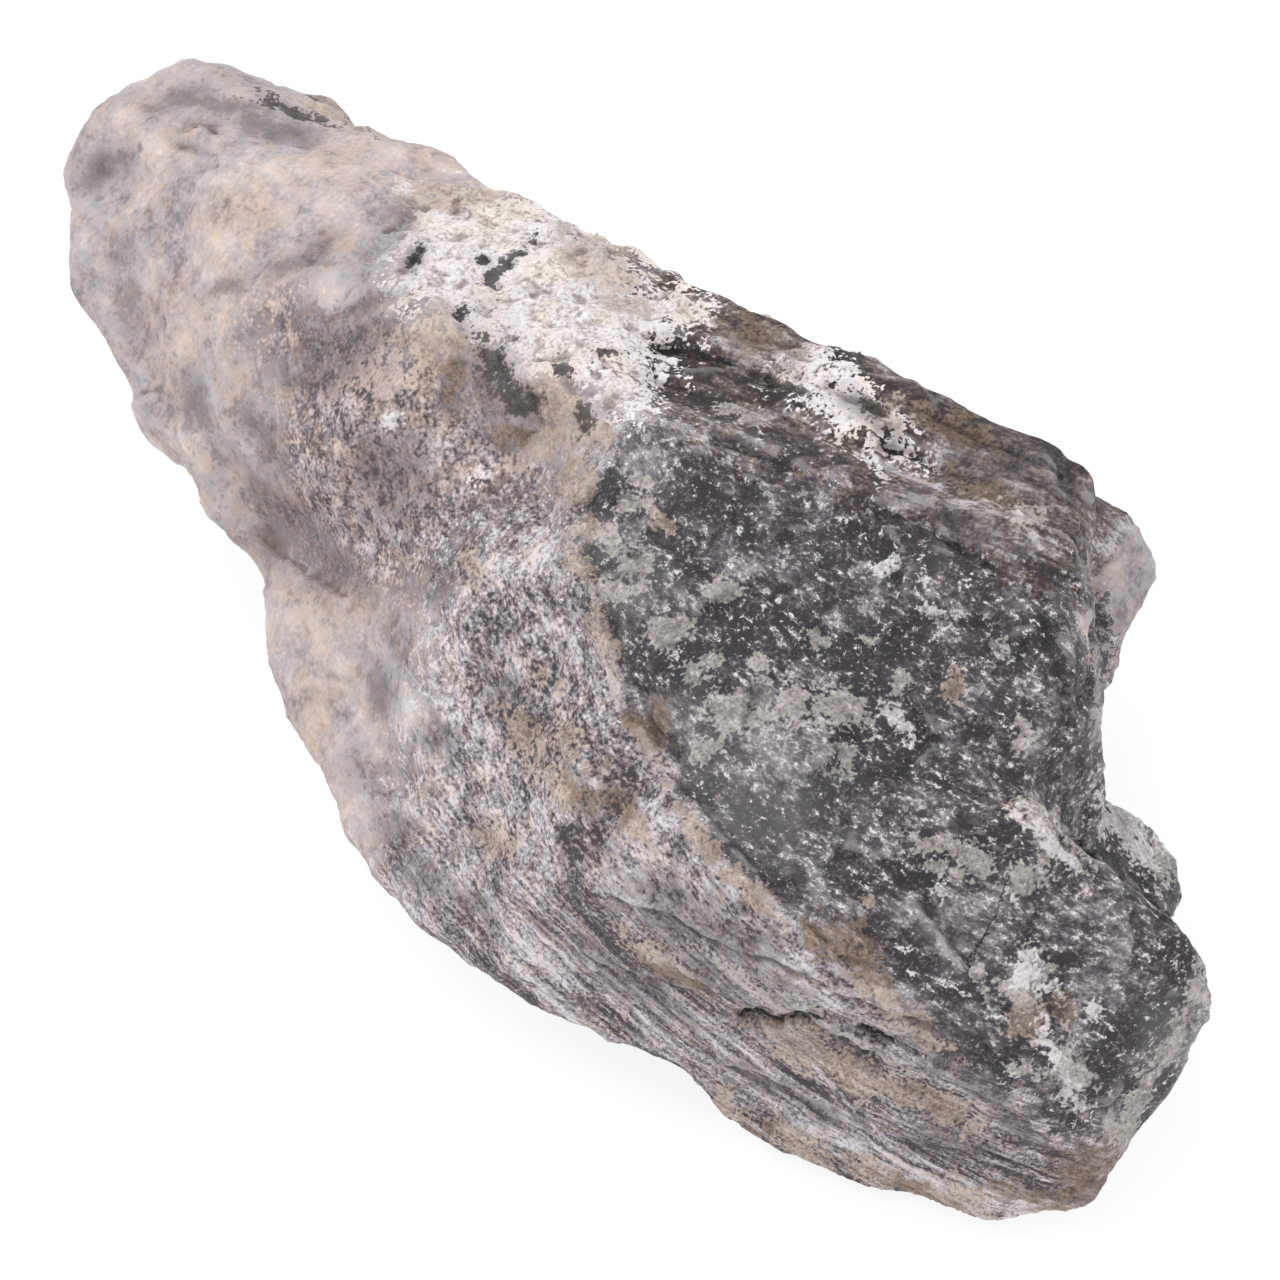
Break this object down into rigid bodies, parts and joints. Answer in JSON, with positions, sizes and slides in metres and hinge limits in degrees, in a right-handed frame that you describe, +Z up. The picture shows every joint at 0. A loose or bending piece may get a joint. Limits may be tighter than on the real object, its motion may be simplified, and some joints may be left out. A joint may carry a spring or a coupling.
{
  "type": "rough labradorite",
  "caption": "Rough, broken piece of grey feldspar rock with a dark fresh face, a fibrous slope and a weathered end, resting on a small flat spot.",
  "frame": {"origin": "on the resting plane, under the middle of the bounding box", "axes": "+X along the stone's length towards the broken toe, +Y towards its back, +Z up from the resting face"},
  "size_m": [0.0644, 0.0344, 0.0224],
  "materials": {
    "labradorite": "rough natural break, dull weathered rind, no polish"
  },
  "bodies": {
    "root": {"stone": "labradorite"}
  },
  "joints": []
}
